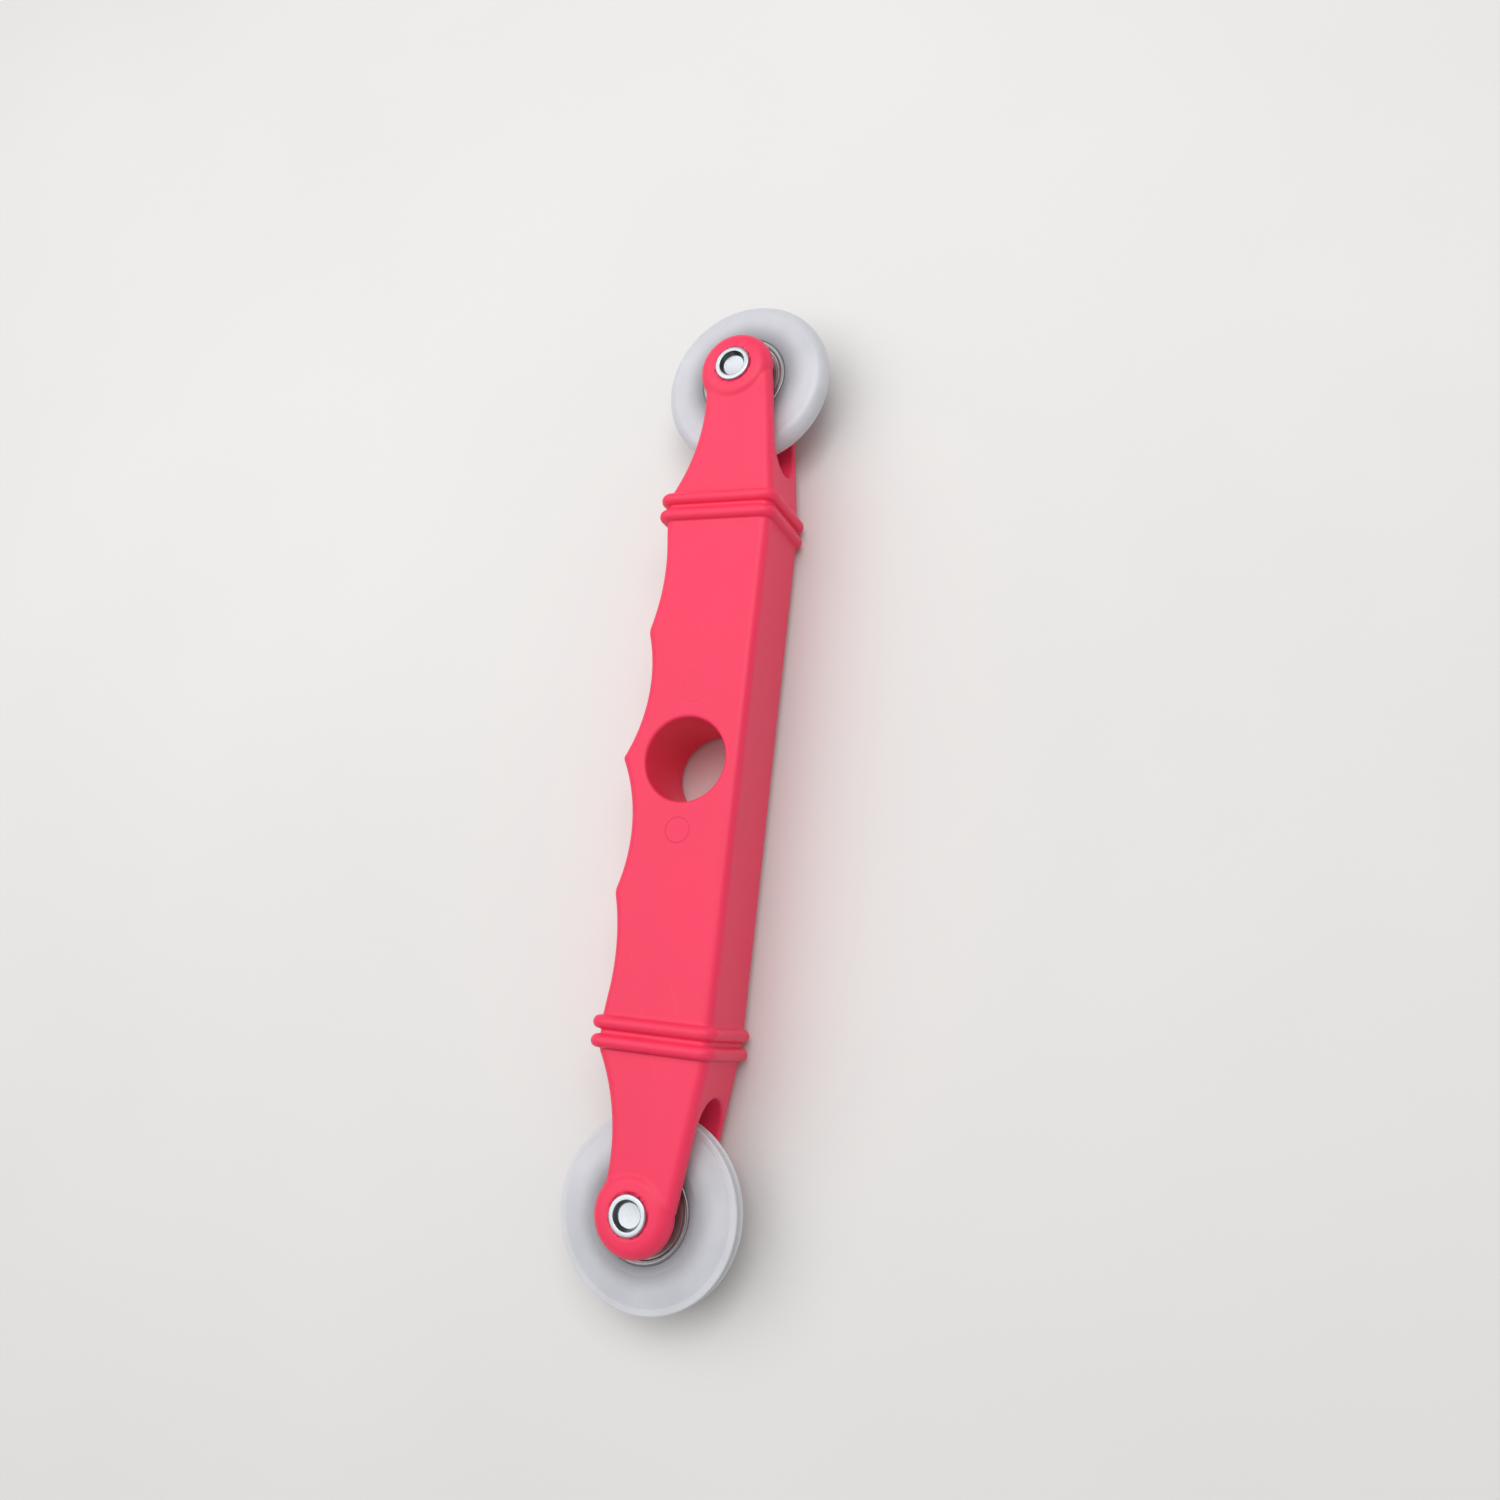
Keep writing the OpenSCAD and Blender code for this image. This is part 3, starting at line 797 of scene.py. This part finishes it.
def cage_polyamide(colour):
    """Amber moulded polyamide, slightly mottled."""
    f = Finish("Amber_cage_polyamide")
    clouds = f.noise(300, 3, 0.5)
    f.set(Base_Color=f.mix(f.span(clouds, 0.3, 0.7), tinted(colour, 0.85), tinted(colour, 1.1)),
          Roughness=f.span(clouds, 0.3, 0.7, 0.42, 0.56), Normal=f.bump(f.noise(2200), 0.02 * MM, 0.4),
          Subsurface_Weight=0.1, Subsurface_Scale=1.0 * MM)
    return f.material


def pale_floor(colour):
    """Pale, faintly mottled floor board."""
    f = Finish("Pale_floor")
    clouds = f.noise(9, 3, 0.5)
    f.set(Base_Color=f.mix(f.span(clouds, 0.35, 0.65), tinted(colour, 0.985), tinted(colour, 1.01)),
          Roughness=f.span(f.noise(40), 0.3, 0.7, 0.62, 0.72),
          Normal=f.bump(f.noise(1400, 2), 0.02 * MM, 0.3))
    return f.material


def repaint(node, material):
    """Gives a CAD node a better material."""
    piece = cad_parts[node]
    piece.data.materials.clear()
    piece.data.materials.append(material)


# ---------------------------------------------------------------- operators

class ROLLER_OT_handle(bpy.types.Operator):
    """Skin the one-piece moulded handle"""

    bl_idname = "roller.handle"
    bl_label = "Handle"

    def execute(self, context):
        settings = context.scene.roller_handle
        piece = make_handle(settings, moulded_plastic(settings.colour))
        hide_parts("handle")
        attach(piece, "handle")
        return {"FINISHED"}


class ROLLER_OT_wheels(bpy.types.Operator):
    """Turn the convex and the grooved nylon wheel"""

    bl_idname = "roller.wheels"
    bl_label = "Wheels"

    def execute(self, context):
        settings = context.scene.roller_wheel
        for end, profile in (("convex", convex_profile), ("grooved", grooved_profile)):
            axle = AXLES[end]
            finish = nylon(settings.colour, axle, f"Milky_nylon_{end}")
            piece = turned(f"{end.capitalize()}_wheel", profile(settings), axle, finish, settings.segments)
            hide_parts(f"{end}_tyre")
            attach(piece, f"{end}_wheel")
        return {"FINISHED"}


class ROLLER_OT_bearings(bpy.types.Operator):
    """Turn the bearing rings and shields and finish the balls and cages"""

    bl_idname = "roller.bearings"
    bl_label = "Bearings"

    def execute(self, context):
        metal, segments = context.scene.roller_metal, context.scene.roller_wheel.segments
        steel = bright_metal("Ground_bearing_steel", metal.steel, 0.36, ring_marks=0.6)
        cage = cage_polyamide(metal.cage)
        for end, axle in AXLES.items():
            race = turned(f"{end.capitalize()}_bearing_ring", race_profile(), axle, steel, segments)
            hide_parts(f"{end}_outer_race")
            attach(race, f"{end}_wheel")
            for face, side in ((1, "top"), (-1, "bottom")):
                shield = turned(f"{end.capitalize()}_shield_{side}", shield_profile(face), axle, steel,
                                segments // 2)
                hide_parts(f"{end}_shield_{side}")
                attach(shield, f"{end}_wheel")
            repaint(f"{end}_inner_race", steel)
            repaint(f"{end}_balls", steel)
            repaint(f"{end}_ball_cage", cage)
        return {"FINISHED"}


class ROLLER_OT_rivets(bpy.types.Operator):
    """Turn the semi-tubular rivets and finish the spacers"""

    bl_idname = "roller.rivets"
    bl_label = "Rivets and spacers"

    def execute(self, context):
        metal, segments = context.scene.roller_metal, context.scene.roller_wheel.segments
        handle = context.scene.roller_handle
        boss_top = (handle.arm_thickness / 2 + handle.boss_height) / MM
        top = MIDDLE.z + boss_top * MM
        # The boss top is the height that the painted shade in the rivet holes is placed from
        zinc = bright_metal("Bright_zinc_plate", metal.zinc, 0.20, painted_hole_shade_top=top)
        for end, axle in AXLES.items():
            rivet = turned(f"{end.capitalize()}_rivet", rivet_profile(boss_top), axle, zinc,
                           segments // 2, closed=False)
            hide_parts(f"{end}_rivet")
            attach(rivet, "handle")
            repaint(f"{end}_spacer_top", zinc)
            repaint(f"{end}_spacer_bottom", zinc)
        return {"FINISHED"}


# Places in metres; the camera's height is from the top face of the grip
FLOOR_REACH = 3.0
KEY_PLACE, KEY_WIDTH = (0.17, 0.24, 0.58), 0.36
FILL_PLACE, FILL_WIDTH = (-0.27, 0.10, 0.52), 0.66
CAMERA_PLACE = (0.09174, -0.04178, GRIP_TOP + 0.19069)
CAMERA_AXIS, CAMERA_TURN = (0.505854, 0.849007, 0.152643), 0.448884


def soft_light(name, place, aim, width, power):
    """A large square light aimed at a point."""
    data = bpy.data.lights.new(name, "AREA")
    data.shape = "SQUARE"
    data.size = width
    data.energy = power
    light = bpy.data.objects.new(name, data)
    light.location = place
    light.rotation_mode = "QUATERNION"
    light.rotation_quaternion = (Vector(aim) - Vector(place)).to_track_quat("-Z", "Y")
    bpy.context.scene.collection.objects.link(light)


class ROLLER_OT_stage(bpy.types.Operator):
    """Make the floor, the soft lights and the camera"""

    bl_idname = "roller.stage"
    bl_label = "Stage"

    def execute(self, context):
        settings = context.scene.roller_stage
        mesh = bpy.data.meshes.new("Floor")
        corners = [(x * FLOOR_REACH, y * FLOOR_REACH, 0) for x, y in ((-1, -1), (1, -1), (1, 1), (-1, 1))]
        mesh.from_pydata(corners, [], [(0, 1, 2, 3)])
        mesh.materials.append(pale_floor(settings.floor_colour))
        floor = bpy.data.objects.new("Floor", mesh)
        context.scene.collection.objects.link(floor)

        world = bpy.data.worlds.new("Surround")
        world.use_nodes = True
        background = world.node_tree.nodes["Background"]
        background.inputs["Color"].default_value = (1.0, 0.99, 0.98, 1)
        background.inputs["Strength"].default_value = settings.sky
        context.scene.world = world
        soft_light("Key_light", KEY_PLACE, MIDDLE, KEY_WIDTH, settings.key_power)
        soft_light("Fill_light", FILL_PLACE, MIDDLE, FILL_WIDTH, settings.fill_power)

        lens = bpy.data.cameras.new("Camera")
        lens.sensor_width = 36
        lens.lens = settings.lens
        lens.clip_start, lens.clip_end = 0.01, 20
        camera = bpy.data.objects.new("Camera", lens)
        camera.location = CAMERA_PLACE
        camera.rotation_mode = "QUATERNION"
        camera.rotation_quaternion = Quaternion(Vector(CAMERA_AXIS), CAMERA_TURN)
        context.scene.collection.objects.link(camera)
        context.scene.camera = camera
        context.scene.view_settings.view_transform = "Standard"
        return {"FINISHED"}


class ROLLER_PT_panel(bpy.types.Panel):
    """Steps that build the finished roller"""

    bl_label = "Spline roller"
    bl_idname = "ROLLER_PT_panel"
    bl_space_type = "VIEW_3D"
    bl_region_type = "UI"
    bl_category = "Spline roller"

    def draw(self, context):
        column = self.layout.column()
        for step in STEPS:
            column.operator(step.bl_idname)


STEPS = (ROLLER_OT_stage, ROLLER_OT_handle, ROLLER_OT_wheels, ROLLER_OT_bearings, ROLLER_OT_rivets)
GROUPS = {"roller_handle": HandleSettings, "roller_wheel": WheelSettings,
          "roller_metal": MetalSettings, "roller_stage": StageSettings}


def register():
    """Adds the settings, the steps and the panel."""
    for group in GROUPS.values():
        bpy.utils.register_class(group)
    for name, group in GROUPS.items():
        setattr(bpy.types.Scene, name, bpy.props.PointerProperty(type=group))
    for step in STEPS:
        bpy.utils.register_class(step)
    bpy.utils.register_class(ROLLER_PT_panel)


def unregister():
    """Takes them away again."""
    bpy.utils.unregister_class(ROLLER_PT_panel)
    for step in reversed(STEPS):
        bpy.utils.unregister_class(step)
    for name in GROUPS:
        delattr(bpy.types.Scene, name)
    for group in reversed(list(GROUPS.values())):
        bpy.utils.unregister_class(group)


def main():
    """Builds every piece in order."""
    register()
    bpy.ops.roller.stage()
    bpy.ops.roller.handle()
    bpy.ops.roller.wheels()
    bpy.ops.roller.bearings()
    bpy.ops.roller.rivets()
    bpy.context.view_layer.update()


if __name__ == "__main__":
    main()
